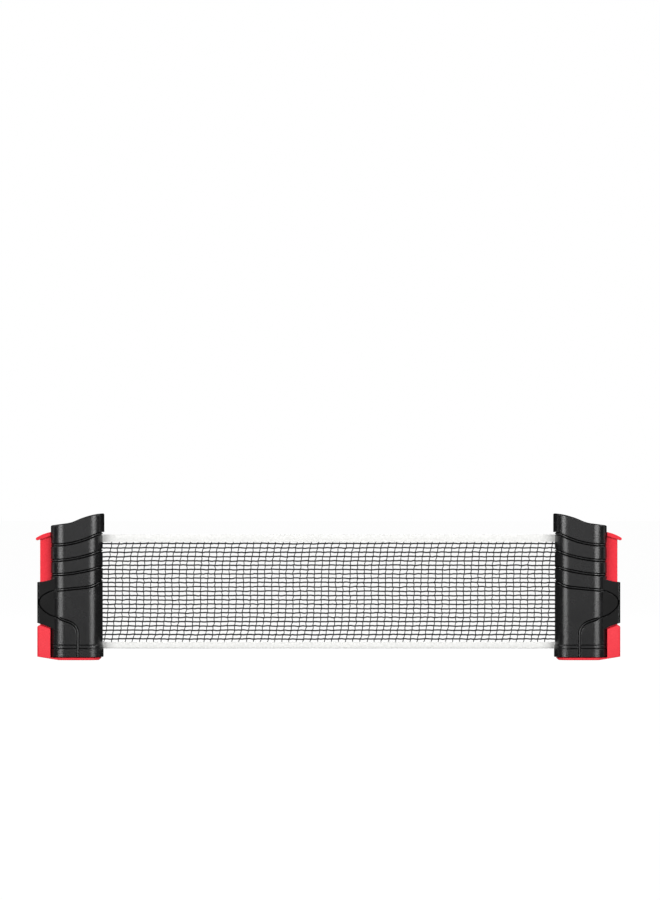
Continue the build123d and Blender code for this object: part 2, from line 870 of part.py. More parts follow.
tape_seam_bottom = net_bottom + tape_bottom_width
tape_seam_top = net_top - tape_top_width

# ---------------------------------------------------------------- place and write


def write(name, part):
    """Write one finished piece to its own file."""
    part.label = name
    export_step(part, f"parts/{name}.step")


to_end_post = Location((half_gap, 0, 0))

post_pieces = {
    "front_shell": front_shell.part,
    "rear_shell": rear_shell.part,
    "base_cap": base_cap.part,
    "upper_jaw_pad": upper_jaw_pad,
    "shell_screws": shell_screws.part,
    "base_screws": base_screws.part,
    "spring_anchor_pin": spring_anchor_pin.part,
    "jaw_slider": jaw_slider.part,
    "lower_jaw_pad": lower_jaw_pad,
    "spring_hook_pin": spring_hook_pin.part,
    "jaw_spring": jaw_spring.part,
}
for name, part in post_pieces.items():
    placed = part.moved(to_end_post)
    write(f"right_{name}", placed)
    write(f"left_{name}", placed.mirror(Plane.YZ))

reel_pieces = {
    "spool_arbor": spool_arbor.part,
    "spool_bottom_bearing": spool_bottom_bearing,
    "spool_top_bearing": spool_top_bearing,
    "spool_bottom_plug": spool_bottom_plug,
    "spool_top_plug": spool_top_plug,
    "spool_tube": spool_tube.part,
    "retraction_spring": retraction_spring.part,
    "net_roll": net_roll.part,
    "net_lead": net_lead.part,
}
for name, part in reel_pieces.items():
    write(name, part.moved(to_end_post).mirror(Plane.YZ))

write("net_end_rod", net_end_rod.part.moved(to_end_post))
write("net_mesh", make_net_strip(tape_seam_bottom, tape_seam_top, net_thickness))
write("net_bottom_tape", make_net_strip(net_bottom, tape_seam_bottom, tape_thickness))
write("net_top_tape", make_net_strip(tape_seam_top, net_top, tape_thickness))
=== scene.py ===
import bmesh
import bpy
import json
from math import asin, atan2, ceil, copysign, cos, hypot, pi, radians, sin, sqrt, tan
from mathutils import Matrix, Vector, noise


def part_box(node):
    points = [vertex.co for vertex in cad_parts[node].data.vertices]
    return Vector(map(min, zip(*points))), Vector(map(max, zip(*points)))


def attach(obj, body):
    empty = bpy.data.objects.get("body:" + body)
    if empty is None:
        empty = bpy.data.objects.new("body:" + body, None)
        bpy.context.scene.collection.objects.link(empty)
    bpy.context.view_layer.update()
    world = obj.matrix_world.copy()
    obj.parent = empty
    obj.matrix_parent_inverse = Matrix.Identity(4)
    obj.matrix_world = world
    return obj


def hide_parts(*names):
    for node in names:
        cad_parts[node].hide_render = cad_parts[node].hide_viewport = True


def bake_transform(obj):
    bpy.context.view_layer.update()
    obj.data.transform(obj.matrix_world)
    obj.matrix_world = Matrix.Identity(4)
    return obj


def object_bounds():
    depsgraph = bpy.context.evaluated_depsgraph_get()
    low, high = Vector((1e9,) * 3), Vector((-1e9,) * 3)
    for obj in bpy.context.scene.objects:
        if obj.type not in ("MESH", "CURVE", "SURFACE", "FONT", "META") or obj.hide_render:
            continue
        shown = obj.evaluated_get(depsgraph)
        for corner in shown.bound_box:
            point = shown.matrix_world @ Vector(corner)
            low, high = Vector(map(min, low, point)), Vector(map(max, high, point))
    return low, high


scene = bpy.context.scene
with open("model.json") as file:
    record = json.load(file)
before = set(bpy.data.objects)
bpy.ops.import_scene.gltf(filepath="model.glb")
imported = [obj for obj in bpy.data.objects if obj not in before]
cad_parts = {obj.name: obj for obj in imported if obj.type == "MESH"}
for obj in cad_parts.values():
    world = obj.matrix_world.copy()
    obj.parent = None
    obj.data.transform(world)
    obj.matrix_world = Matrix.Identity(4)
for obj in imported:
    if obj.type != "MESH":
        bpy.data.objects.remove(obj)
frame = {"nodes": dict(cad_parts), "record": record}  # the CAD model: metres, +Z up, the net along X, the near side at -Y
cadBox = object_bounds()
nodes = frame["nodes"]
mm = 0.001
sides = ("left", "right")
print("frame loaded,", len(nodes), "CAD nodes")

viewSetup = {
    "distance": 8,  # a long lens from straight in front
    "widthShare": 0.8867,  # of the picture's width that the set takes
    "aimHeight": 261 * mm,  # the lens looks level at this height, well over the set
    "aimSide": 1.5 * mm,
    "sensor": 36,  # across the picture's long side
    "pictureShape": 660 / 900,
}
lightSetup = {
    # place, target, width and height in metres, brightness; all but the front one have a twin on the left
    "softboxes": {
        "front": ((0, -2.4, 0.45), (0, 0, 0.1), (1.5, 0.9), 1.1),
        "strip": ((2.57, -3.06, 1.1), (0, 0, 0.3), (2.1, 2.2), 8.8),
        "edge": ((0.95, 0.11, 0.3), (0.34, 0, 0.1), (0.1, 0.7), 1.1),
        "side": ((2.6, -0.2, 1.7), (0.3, 0, 0.1), (1.2, 1.4), 4.0),
        "rear": ((1.6, 2.4, 2.2), (0.2, 0, 0.1), (1.7, 1.5), 8.0),
    },
    "surround": 0.01,  # a dark room keeps the housings' turned edges black
    "backdrop": 1.0,  # how white the room looks to the camera
}
# The paper looks white but throws little light back
floorSetup = {
    "size": 40,
    "height": -48 * mm,  # low enough for the opened jaws
    "colour": "323231",
    "glow": 0.985,  # white right to the horizon
}
white = (1, 1, 1, 1)


def linear(hexColour):
    # sRGB hex to the linear colour that shaders take
    channels = [int(hexColour[i:i + 2], 16) / 255 for i in (0, 2, 4)]
    return (*(c / 12.92 if c <= 0.04045 else ((c + 0.055) / 1.055) ** 2.4 for c in channels), 1.0)


def addNode(tree, kind, sockets=None, output=0, **settings):
    # one node with its settings, and its sockets set or linked; gives one of its outputs
    made = tree.nodes.new(kind)
    for setting, value in settings.items():
        setattr(made, setting, value)
    for socket, value in (sockets or {}).items():
        for link in value if isinstance(value, list) else [value]:
            if isinstance(link, bpy.types.NodeSocket):
                tree.links.new(link, made.inputs[socket])
            else:
                made.inputs[socket].default_value = link
    return made.outputs[output] if made.outputs else None


def newObject(name, data):
    made = bpy.data.objects.new(name, data)
    scene.collection.objects.link(made)
    return made


def newMaterial(name, values):
    material = bpy.data.materials.new(name)
    material.use_nodes = True
    shader = material.node_tree.nodes["Principled BSDF"]
    for socket, value in values.items():
        shader.inputs[socket].default_value = value
    return material, material.node_tree, shader


def makeCamera(setup):
    data = bpy.data.cameras.new("camera")
    camera = newObject("camera", data)
    width = cadBox[1].x - cadBox[0].x
    acrossPicture = setup["sensor"] * setup["pictureShape"]
    data.sensor_width = setup["sensor"]
    data.lens = acrossPicture * setup["widthShare"] * setup["distance"] / width
    data.clip_end = 10 * setup["distance"]
    camera.location = (setup["aimSide"], -setup["distance"], setup["aimHeight"])
    camera.rotation_euler = (radians(90), 0, 0)
    scene.camera = camera


def makeStudio(setup):
    for name, (place, target, size, brightness) in setup["softboxes"].items():
        for side, flip in (("Left", -1), ("Right", 1)) if place[0] else (("", 1),):
            data = bpy.data.lights.new(name + side, "AREA")
            data.shape = "RECTANGLE"
            data.size, data.size_y = size
            data.energy = brightness * pi * size[0] * size[1]
            there, aim = [Vector((flip * spot[0], *spot[1:])) for spot in (place, target)]
            lamp = newObject(name + side, data)
            lamp.location = there
            lamp.rotation_euler = (aim - there).to_track_quat("-Z", "Y").to_euler()
            lamp.visible_camera = False
            lamp.visible_glossy = name != "rear"  # no glare from behind along the caps' rims
    world = bpy.data.worlds.new("studio")
    world.use_nodes = True
    tree = world.node_tree
    tree.nodes.clear()
    seen = addNode(tree, "ShaderNodeLightPath", output="Is Camera Ray")
    room = addNode(tree, "ShaderNodeBackground", {"Color": white, "Strength": setup["surround"]})
    paper = addNode(tree, "ShaderNodeBackground", {"Color": white, "Strength": setup["backdrop"]})
    mix = addNode(tree, "ShaderNodeMixShader", {0: seen, 1: room, 2: paper})
    addNode(tree, "ShaderNodeOutputWorld", {"Surface": mix})
    scene.world = world
    scene.view_settings.view_transform = "Standard"


def makeFloor(setup):
    mesh = bpy.data.meshes.new("floor")
    half = setup["size"] / 2
    corners = [(x * half, y * half, setup["height"]) for x, y in ((-1, -1), (1, -1), (1, 1), (-1, 1))]
    mesh.from_pydata(corners, [], [(0, 1, 2, 3)])
    paper, tree, shader = newMaterial("paperSweep", {
        "Base Color": linear(setup["colour"]), "Emission Color": white,
        "Roughness": 0.9, "Specular IOR Level": 0.1,
    })
    seen = addNode(tree, "ShaderNodeLightPath", output="Is Camera Ray")
    glow = addNode(tree, "ShaderNodeMath", {0: seen, 1: setup["glow"]}, operation="MULTIPLY")
    tree.links.new(glow, shader.inputs["Emission Strength"])
    mesh.materials.append(paper)
    newObject("floor", mesh)


makeCamera(viewSetup)
makeStudio(lightSetup)
makeFloor(floorSetup)
print("studio ready")


def mouldedAbs(name, dark, light, roughness, spacing, depth, specular=0.5):
    # ABS from a spark-eroded tool: an even grain, drawn coarser than real, and a slightly uneven sheen
    return {
        "name": name,
        "shader": {"IOR": 1.53, "Roughness": roughness, "Specular IOR Level": specular},
        "varies": {
            "Base Color": (spacing, 3, dark, light),
            "Roughness": (22 * mm, 2, roughness - 0.04, roughness + 0.05),
        },
        "relief": (spacing, 3, depth),
    }


def bareMetal(name, dark, light, roughness, streaks=(1, 1, 1)):
    # drawn or ground metal: fine streaks along the way that it was drawn
    grain = (0.25 * mm, 3)
    return {
        "name": name,
        "shader": {"Metallic": 1, "Roughness": roughness},
        "streaks": streaks,
        "varies": {
            "Base Color": (*grain, dark, light),
            "Roughness": (*grain, roughness - 0.08, roughness + 0.1),
        },
        "relief": (*grain, 0.01 * mm),
    }


# What is the same all over, what varies, and the relief. A pattern is its lumps' spacing and detail, then
# its two ends or its depth
looks = {
    "housing_black": mouldedAbs("blackMouldedAbs", "080809", "1a1a1b", 0.25, 1.2 * mm, 0.12 * mm),
    # The same ABS, eroded coarser: dull grips
    "housing_grip": mouldedAbs("coarseGripAbs", "0b0b0b", "141414", 0.6, 0.7 * mm, 0.08 * mm, 0.12),
    # Groove floors painted near black with hardly any shine: painted shade in the recesses
    "housing_groove": mouldedAbs("dullGrooveAbs", "020202", "040404", 0.9, 0.7 * mm, 0.05 * mm, 0.05),
    # The red moulding is less glossy than the housing
    "slider_red": mouldedAbs("redMouldedAbs", "dd2e3a", "e93945", 0.4, 1.2 * mm, 0.06 * mm, 0.08),
    "screw_steel": bareMetal("blackZincSteel", "2c2c2e", "3a3a3c", 0.4),
    "pin_steel": bareMetal("groundSteel", "a8a8aa", "c8c8ca", 0.3, (1, 1, 0.05)),
    "spring_steel": bareMetal("springWire", "9a9a9a", "bdbdbb", 0.32),
    "tube_aluminium": bareMetal("drawnAluminium", "c4c5c8", "dcdde0", 0.35, (1, 1, 0.03)),
    # Moulded rubber: dull, with a dusty bloom in soft patches
    "pad_rubber": {
        "name": "nitrileRubber",
        "shader": {"IOR": 1.52, "Roughness": 0.8},
        "varies": {"Base Color": (9 * mm, 3, "161616", "262625"), "Roughness": (0.5 * mm, 3, 0.72, 0.88)},
        "relief": (0.5 * mm, 3, 0.03 * mm),
    },
    # Unfilled nylon: milky, lit a little from within
    "bearing_white": {
        "name": "naturalNylon",
        "shader": {
            "IOR": 1.53, "Roughness": 0.45,
            "Subsurface Weight": 0.15, "Subsurface Radius": (1 * mm, 0.8 * mm, 0.6 * mm),
        },
        "varies": {"Base Color": (4 * mm, 3, "dcdacf", "ebe9e0")},
        "relief": (4 * mm, 3, 0.02 * mm),
    },
    # Twisted black yarn: a fine ply along the thread and a little fluff that greys it
    "net_thread": {
        "name": "polyesterThread",
        "shader": {"Roughness": 0.75, "Sheen Weight": 0.1, "Sheen Roughness": 0.5},
        "varies": {"Base Color": (5 * mm, 2, "0c0c0d", "1d1d1f")},
        "relief": (0.6 * mm, 3, 0.08 * mm),
    },
    # Bleached twill tape: crossing threads, drawn coarser than real, and soft mottling
    "tape_white": {
        "name": "cottonTape",
        "shader": {"Roughness": 0.9, "Sheen Weight": 0.2},
        "varies": {"Base Color": (2.2 * mm, 4, "dededc", "ececea")},
        "relief": (6 * mm, 1, 0.12 * mm),
        "weave": 1.2,  # how unevenly the threads lie
    },
}
noiseEnds = {"From Min": 0.3, "From Max": 0.7}  # nearly all of a noise's values lie between these


def makeFinish(look):
    # its patterns read Object coordinates, so their sizes are real
    material, tree, shader = newMaterial(look["name"], look["shader"])
    place = addNode(tree, "ShaderNodeTexCoord", output="Object")
    if "streaks" in look:
        place = addNode(tree, "ShaderNodeMapping", {"Vector": place, "Scale": look["streaks"]})
    for socket, (spacing, detail, *ends) in look["varies"].items():
        lumps = {"Vector": place, "Scale": 1 / spacing, "Detail": detail}
        share = addNode(tree, "ShaderNodeTexNoise", lumps, output="Fac")
        low, high = (0, 1) if socket == "Base Color" else ends
        spread = {"Value": share, **noiseEnds, "To Min": low, "To Max": high}
        share = addNode(tree, "ShaderNodeMapRange", spread)
        if socket == "Base Color":
            colours = {0: share, 6: linear(ends[0]), 7: linear(ends[1])}
            share = addNode(tree, "ShaderNodeMix", colours, output=2, data_type="RGBA")
        tree.links.new(share, shader.inputs[socket])
    spacing, detail, depth = look["relief"]
    lumps = {"Vector": place, "Scale": 1 / spacing, "Detail": detail}
    if "weave" in look:
        lumps["Distortion"] = look["weave"]
        warp = addNode(tree, "ShaderNodeTexWave", lumps, output="Fac", bands_direction="X")
        weft = addNode(tree, "ShaderNodeTexWave", lumps, output="Fac", bands_direction="Z")
        height = addNode(tree, "ShaderNodeMath", {0: warp, 1: weft}, operation="MULTIPLY")
    else:
        height = addNode(tree, "ShaderNodeTexNoise", lumps, output="Fac")
    bump = addNode(tree, "ShaderNodeBump", {"Height": height, "Distance": depth})
    tree.links.new(bump, shader.inputs["Normal"])
    return material


finishes = {slot: makeFinish(look) for slot, look in looks.items()}
slotOf = {s["node"]: s["material_slot"] for s in frame["record"]["subparts"]}
for name, node in nodes.items():
    node.data.materials.clear()
    node.data.materials.append(finishes[slotOf[name]])
print("materials ready,", len(finishes))

weldGap = 0.001 * mm  # points nearer than this are one point
barCrease = radians(50)


def addObject(name, mesh, finish):
    mesh.materials.clear()
    mesh.materials.append(finishes[finish])
    return newObject(name, mesh)


def onBody(piece, body, *stands):
    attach(piece, body)
    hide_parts(*stands)


def asMesh(shape, name, crease):
    # its shading stays smooth over less than the crease
    mesh = bpy.data.meshes.new(name)
    shape.to_mesh(mesh)
    shape.free()
    mesh.shade_smooth()
    mesh.set_sharp_from_angle(angle=crease)
    return mesh


def weldedShape(name):
    # a CAD node's triangles joined up
    shape = bmesh.new()
    shape.from_mesh(nodes[name].data)
    bmesh.ops.remove_doubles(shape, verts=shape.verts, dist=weldGap)
    return shape


def looseBoxes(name):
    # the boxes of a CAD node's separate solids
    shape = weldedShape(name)
    left, boxes = set(shape.verts), []
    while left:
        found, waiting = set(), [left.pop()]
        while waiting:
            vert = waiting.pop()
            found.add(vert)
            near = {edge.other_vert(vert) for edge in vert.link_edges} & left
            left -= near
            waiting.extend(near)
        low = Vector([min(v.co[i] for v in found) for i in range(3)])
        high = Vector([max(v.co[i] for v in found) for i in range(3)])
        boxes.append((low, high))
    shape.free()
    return sorted(boxes, key=lambda box: tuple(box[0]))


def newTree(name, inputs):
    # a Geometry Nodes tree with its named inputs of each kind, and their sockets
    tree = bpy.data.node_groups.new(name, "GeometryNodeTree")
    for kind, labels in {"Geometry": "Geometry", "Material": "material", **inputs}.items():
        for label in labels.split():
            tree.interface.new_socket(name=label, in_out="INPUT", socket_type="NodeSocket" + kind)
    tree.interface.new_socket(name="Geometry", in_out="OUTPUT", socket_type="NodeSocketGeometry")
    return tree, dict(addNode(tree, "NodeGroupInput").node.outputs.items())


signs = {"+": "ADD", "-": "SUBTRACT", "*": "MULTIPLY", "/": "DIVIDE", "**": "POWER"}


def workOut(tree, given, sums):
    # adds sums of two given sockets or numbers, and places from three
    for name, terms in sums.items():
        kind, settings = "ShaderNodeCombineXYZ", {}
        if isinstance(terms, str):
            first, sign, second = terms.split()
            kind, settings, terms = "ShaderNodeMath", {"operation": signs[sign]}, (first, second)
        values = {index: given[term] if term in given else float(term) for index, term in enumerate(terms)}
        given[name] = addNode(tree, kind, values, **settings)


def closeTree(tree, given, parts, smooth=True):
    whole = addNode(tree, "GeometryNodeJoinGeometry", {0: parts})
    if smooth:
        whole = addNode(tree, "GeometryNodeSetShadeSmooth", {"Geometry": whole})
    whole = addNode(tree, "GeometryNodeRealizeInstances", {"Geometry": whole})
    whole = addNode(tree, "GeometryNodeSetMaterial", {"Geometry": whole, "Material": given["material"]})
    addNode(tree, "NodeGroupOutput", {"Geometry": whole})


def grow(tree, piece, values):
    # runs a tree on a piece and keeps the result as its plain mesh
    modifier = piece.modifiers.new(tree.name, "NODES")
    modifier.node_group = tree
    values = {**values, "material": piece.data.materials[0]}
    for item in tree.interface.items_tree:
        if item.in_out == "INPUT" and item.name in values:
            modifier[item.identifier] = values[item.name]
    depsgraph = bpy.context.evaluated_depsgraph_get()
    mesh = bpy.data.meshes.new_from_object(piece.evaluated_get(depsgraph))
    piece.modifiers.remove(modifier)
    piece.data = mesh


def stripMesh(name, rings):
    # a closed bar through rings of points
    shape = bmesh.new()
    rows = [[shape.verts.new(point) for point in ring] for ring in rings]
    for first, second in zip(rows, rows[1:]):
        for index in range(len(first)):
            after = (index + 1) % len(first)
            shape.faces.new((first[index], first[after], second[after], second[index]))
    shape.faces.new(list(reversed(rows[0])))
    shape.faces.new(rows[-1])
    bmesh.ops.recalc_face_normals(shape, faces=shape.faces)
    return asMesh(shape, name, barCrease)


# The housings and sliders from above, the inner face at 0 and the outer end away from the net
postForm = {
    "halfDepth": 24 * mm,
    "corner": 20 * mm,  # the big rounded corners
    "bodyInner": 2 * mm,  # the cap stands out over this, and the base a little less
    "baseInner": 1 * mm,
    "formOuter": 67.5 * mm,
    "bodyOuter": 66 * mm,
    "channelHalf": 11 * mm,  # inside this the slider's channel opens
    "wedgeRoot": 57 * mm,  # the grip's flat sides run from here, this far apart, and turn in
    "wedgeRootHalf": 20 * mm,
    "wedgeTurn": atan2(8.5, 26),
}
grooveForm = {
    "width": 3.9 * mm,
    "depth": 1.2 * mm,
    "bead": 1.42 * mm,  # a raised bead runs along each groove's middle
    "beadSunk": 0.05 * mm,
    "beadSide": 0.2 * mm,  # its shoulders lie this much lower than its crown
    "beadFlat": 0.7,  # of its half width, up to where its shoulders begin
    "beadFlatDrop": 0.08 * mm,
    "beadRoot": 0.2 * mm,  # into the groove's floor
    "beadFoot": 4.2 * mm,  # the lowest point of the bead that drops to the base
    "samples": 160,  # round the housing
}
grooveLines = {
    # in mm and degrees, from the front of the end post; runs have no radius, and arcs turn by degrees
    "seamDrop": 25,  # the cap's seam, under the crest
    "beyond": 6,  # past the inner face
    "seam": ((None, 9), (15, -24), (None, 6.9), (115, 23), (None, 18)),
    # start, drop under the seam, fall in degrees, radius
    "waves": ((2.5, 20.9, 22, 172), (3, 41.1, 17.5, 215)),
    "waveEndFall": 1,
    "waveEnd": 12,
    "loopStart": (3, 97.7),
    "loopFall": 36,
    "loopDip": ((40, 30.5), (None, 36.5)),
    "loopNose": ((33, -34.5), (10, -90), (35, -31), (None, 8.5)),
    "drop": ((None, 12.2), (17, 71), (None, 40)),
}
mouldings = {
    # node: piece, finish, edge radius
    "front_shell": ("FrontShellMoulding", "housing_black", 0.25 * mm),
    "rear_shell": ("RearShellMoulding", "housing_black", 0.25 * mm),
    "base_cap": ("BaseCapMoulding", "housing_black", 0.25 * mm),
    "jaw_slider": ("JawSliderMoulding", "slider_red", 0.5 * mm),
}
mouldingEdges = {
    "flat": radians(0.3),  # faces that turn less are made one
    "sharpest": radians(18),  # shading stays smooth over less than this
    "softened": radians(30),  # edges that turn more are rounded
    "nearOuter": 5 * mm,  # this near the outer edge, only what is beside the channel is rounded
    "gripEnd": 12 * mm,  # or this far beyond it
    "grooveShare": 0.9,  # of the grooves' depth, down to which edges are rounded
    "capZone": 40 * mm,  # under the crest is the cap's overhang
    "capStep": 1.9 * mm,
}
# What is skin, grip or groove
skinLimits = {
    "lean": 0.02,  # how far an upright face's normal may lean, or a grip's may turn
    "wedge": 0.9998,  # cosine of the angle to the grip's flat sides
    "facing": cos(radians(9)),  # the same to the round skin
    "inset": 1.5 * mm,  # no deeper under the round skin
    "gripGroove": (0.1 * mm, 1 * mm),  # where the loop's groove lies under the grip's flat sides
    "gripMiddle": 4 * mm,  # nearer the middle is the grip's end
    "gripStart": 8 * mm,  # its flat sides begin this far inside the outer edge
    "gripFacing": 0.9,  # and face the front or back at least this far
    "groove": (0.3 * mm, 1.35 * mm),  # where the grooves lie under the round skin
}
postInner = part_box("right_front_shell")[0].x
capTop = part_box("right_front_shell")[1].z
cornerY = postForm["halfDepth"] - postForm["corner"]  # the rounded corners' centres
cornerFar = postForm["formOuter"] - postForm["corner"]


def guideLine(start, heading, moves):
    # a line of straight runs and arcs
    points, angle = [Vector(start)], radians(heading)
    for radius, amount in moves:
        if radius is None:
            points.append(points[-1] + Vector((cos(angle), sin(angle))) * amount * mm)
            continue
        turn = radians(amount)
        count = max(4, round(abs(amount)))
        for _ in range(count):
            chord = 2 * radius * mm * sin(abs(turn) / count / 2)
            middle = angle + turn / count / 2
            points.append(points[-1] + Vector((cos(middle), sin(middle))) * chord)
            angle += turn / count
    return points


def lineFrom(x, height, fall, moves):
    # a guide line that falls through a place near the inner face, started a little way outside it
    slope = Vector((cos(radians(fall)), -sin(radians(fall))))
    beyond = grooveLines["beyond"]
    return guideLine(Vector((x * mm, height * mm)) - slope * beyond * mm, -fall, ((None, beyond), *moves))


def sideways(line, distance):
    # a guide line moved to its left
    moved = []
    for index, point in enumerate(line):
        run = line[min(index + 1, len(line) - 1)] - line[max(index - 1, 0)]
        moved.append(point + Vector((-run.y, run.x)).normalized() * distance)
    return moved


def heightAt(line, x):
    for first, second in zip(line, line[1:]):
        if first.x <= x <= second.x:
            return first.y + (second.y - first.y) * (x - first.x) / (second.x - first.x or 1)
    return line[0].y if x < line[0].x else line[-1].y


def makeGuideLines(lines):
    # the cap's seam, the waves under it, and the line that drops from the loop to the base
    seamHeight = capTop / mm - lines["seamDrop"]
    made = [guideLine((-lines["beyond"] * mm, seamHeight * mm), 0, lines["seam"])]
    for start, drop, fall, radius in lines["waves"]:
        moves = ((radius, fall - lines["waveEndFall"]), (None, lines["waveEnd"]))
        made.append(lineFrom(start, seamHeight - drop, fall, moves))
    loop, fall = lines["loopDip"] + lines["loopNose"], lines["loopFall"]
    made.append(lineFrom(*lines["loopStart"], fall, lines["loopDip"]))
    turned = sum(amount for radius, amount in loop if radius)
    loopEnd = lineFrom(*lines["loopStart"], fall, loop)[-1]
    return made, guideLine(loopEnd, turned - fall, lines["drop"])


waves, dropLine = makeGuideLines(grooveLines)
capSeam = waves[0]


def planPoint(share, inset):
    # the housing's outline from above, from its near outer edge round to its far one
    corner = postForm["corner"]
    radius, cut = corner - inset, asin((postForm["bodyOuter"] - cornerFar) / corner)
    lengths = (cut * corner, cornerFar - postForm["bodyInner"] - corner, pi / 2 * corner, cornerY)
    left, gone = (1 - abs(2 * share - 1)) * sum(lengths), []
    for length in lengths:
        gone.append(min(left, length))
        left -= gone[-1]
    outer, inner = cut - gone[0] / corner, gone[2] / corner
    x = cornerFar - gone[1] + radius * (sin(outer) - sin(inner))
    y = cornerY - gone[3] + radius * (cos(outer) + cos(inner) - 1)
    return x, copysign(y, share - 0.5)


def planDepth(x, inset):
    # how far from the middle the skin is at a place along the net
    over = max(0.0, x - cornerFar)
    return cornerY + sqrt(max((postForm["corner"] - inset)**2 - over**2, 0))


def skinNormal(place, inner):
    # which way the housing's upright skin faces, and how far inside it the place is
    x, y = abs(place.x) - postInner, abs(place.y)
    across = min(x - (inner + postForm["corner"]), 0) if x < cornerFar else x - cornerFar
    back = max(y - cornerY, 0)
    away = hypot(across, back)
    if away < weldGap:
        return None, postForm["corner"]
    turned = Vector((across / away * copysign(1, place.x), back / away * copysign(1, place.y), 0))
    return turned, postForm["corner"] - away


def onSkin(edge):
    # the edges that a hand could feel on a housing
    middle = (edge.verts[0].co + edge.verts[1].co) / 2
    x, y = abs(middle.x) - postInner, abs(middle.y)
    _, inset = skinNormal(middle, postForm["bodyInner"])
    if x > postForm["bodyOuter"] - mouldingEdges["nearOuter"]:
        return y > postForm["channelHalf"] or x > postForm["bodyOuter"] + mouldingEdges["gripEnd"]
    onCap = middle.z > capTop - mouldingEdges["capZone"] and inset < mouldingEdges["capStep"]
    return onCap or inset < grooveForm["depth"] * mouldingEdges["grooveShare"]


def dressNormals(mesh, innerOf):
    # true normals on the round skin, which then shines without facets
    normals = [Vector(corner.vector) for corner in mesh.corner_normals]
    for face in mesh.polygons:
        if abs(face.normal.z) > skinLimits["lean"]:
            continue
        wedge = Vector((
            copysign(sin(postForm["wedgeTurn"]), face.center.x),
            copysign(cos(postForm["wedgeTurn"]), face.center.y), 0,
        ))
        if wedge.dot(face.normal) > skinLimits["wedge"]:
            for loop in face.loop_indices:
                normals[loop] = wedge
            continue
        inner = innerOf(face.center)
        facing, _ = skinNormal(face.center, inner)
        if facing is None or facing.dot(face.normal) < skinLimits["facing"]:
            continue
        for loop in face.loop_indices:
            place = mesh.vertices[mesh.loops[loop].vertex_index].co
            turned, inset = skinNormal(place, inner)
            if turned and inset < skinLimits["inset"]:
                normals[loop] = turned
    mesh.normals_split_custom_set(normals)


def mouldedFinish(face):
    # 0 on the fair skin, 1 on the flat grips, 2 in the grooves, which get near-black painted shade
    place, turn = face.center, postForm["wedgeTurn"]
    x, y = abs(place.x) - postInner, abs(place.y)
    if place.z > heightAt(capSeam, x) + grooveForm["width"]:
        return 0
    if x > postForm["bodyOuter"]:
        under = postForm["wedgeRootHalf"] - (x - postForm["wedgeRoot"]) * tan(turn) - y
        low, high = skinLimits["gripGroove"]
        if low < under * cos(turn) < high and y > skinLimits["gripMiddle"]:
            return 2
    _, inset = skinNormal(place, postForm["bodyInner"])
    upright = abs(face.normal.z) < skinLimits["lean"] and abs(face.normal.y) > skinLimits["gripFacing"]
    flat = abs(abs(face.normal.x) - sin(turn)) < skinLimits["lean"]
    if upright and flat and x > postForm["bodyOuter"] - skinLimits["gripStart"]:
        return 1
    low, high = skinLimits["groove"]
    return 2 if x < postForm["bodyOuter"] and low < inset < high else 0


def capOrBody(place):
    x = abs(place.x) - postInner
    return 0.0 if place.z > heightAt(capSeam, x) else postForm["bodyInner"]


def makeMoulding(side, node, name, finish, radius):
    source, slider = f"{side}_{node}", node == "jaw_slider"
    shape = weldedShape(source)
    bmesh.ops.dissolve_limit(shape, angle_limit=mouldingEdges["flat"], verts=shape.verts, edges=shape.edges)
    edges = [e for e in shape.edges if len(e.link_faces) == 2 and (slider or onSkin(e))]
    edges = [e for e in edges if e.calc_face_angle() > mouldingEdges["softened"]]
    rounding = {"segments": 2, "profile": 0.5, "affect": "EDGES", "clamp_overlap": False}
    bmesh.ops.bevel(shape, geom=edges, offset=radius, **rounding)
    mesh = asMesh(shape, side + name, mouldingEdges["sharpest"])
    if not slider:
        dressNormals(mesh, capOrBody if node != "base_cap" else lambda place: postForm["baseInner"])
    piece = addObject(side + name, mesh, finish)
    if not slider:
        mesh.materials.append(finishes["housing_grip"])
        # the grooves' near-black painted shade
        mesh.materials.append(finishes["housing_groove"])
        for face in mesh.polygons:
            face.material_index = mouldedFinish(face)
    onBody(piece, f"{side}_jaw" if slider else f"{side}_post", source)


def beadProfile():
    # sideways offset and depth under the skin, round the bead
    half, sunk = grooveForm["bead"] / 2, grooveForm["beadSunk"]
    rise = [
        (-half, grooveForm["depth"] + grooveForm["beadRoot"]),
        (-half, grooveForm["beadSide"] + sunk / 2),
        (-half * grooveForm["beadFlat"], sunk + grooveForm["beadFlatDrop"]),
    ]
    return rise + [(0, sunk)] + [(-offset, depth) for offset, depth in reversed(rise)]


def makeBead(side, name, line, count, placeAt):
    # a bar along a line; placeAt gives the place of a sample at a depth
    flip = -1 if side == "left" else 1
    moved = [(sideways(line, offset), depth) for offset, depth in beadProfile()]
    rings = []
    for sample in range(count):
        places = [placeAt(sample, shifted, depth) for shifted, depth in moved]
        rings.append([Vector((flip * (postInner + x), y, z)) for x, y, z in places])
    piece = addObject(side + name, stripMesh("bead", rings), "housing_black")
    onBody(piece, f"{side}_post")


def makeBeads(side):
    count = grooveForm["samples"]

    def roundHousing(sample, shifted, depth):
        x, y = planPoint(sample / count, depth)
        return x, y, heightAt(shifted, x)

    for number, line in enumerate(waves):
        makeBead(side, f"GrooveBead{number + 1}", line, count + 1, roundHousing)
    for number, facing in enumerate((-1, 1)):
        def downFace(sample, shifted, depth):
            x, z = shifted[sample]
            return x, facing * planDepth(x, depth), max(z, grooveForm["beadFoot"])

        makeBead(side, f"DropBead{number + 1}", dropLine, len(dropLine), downFace)


for side in sides:
    for node, (name, finish, radius) in mouldings.items():
        makeMoulding(side, node, name, finish, radius)
    makeBeads(side)
print("mouldings made,", 2 * len(mouldings))

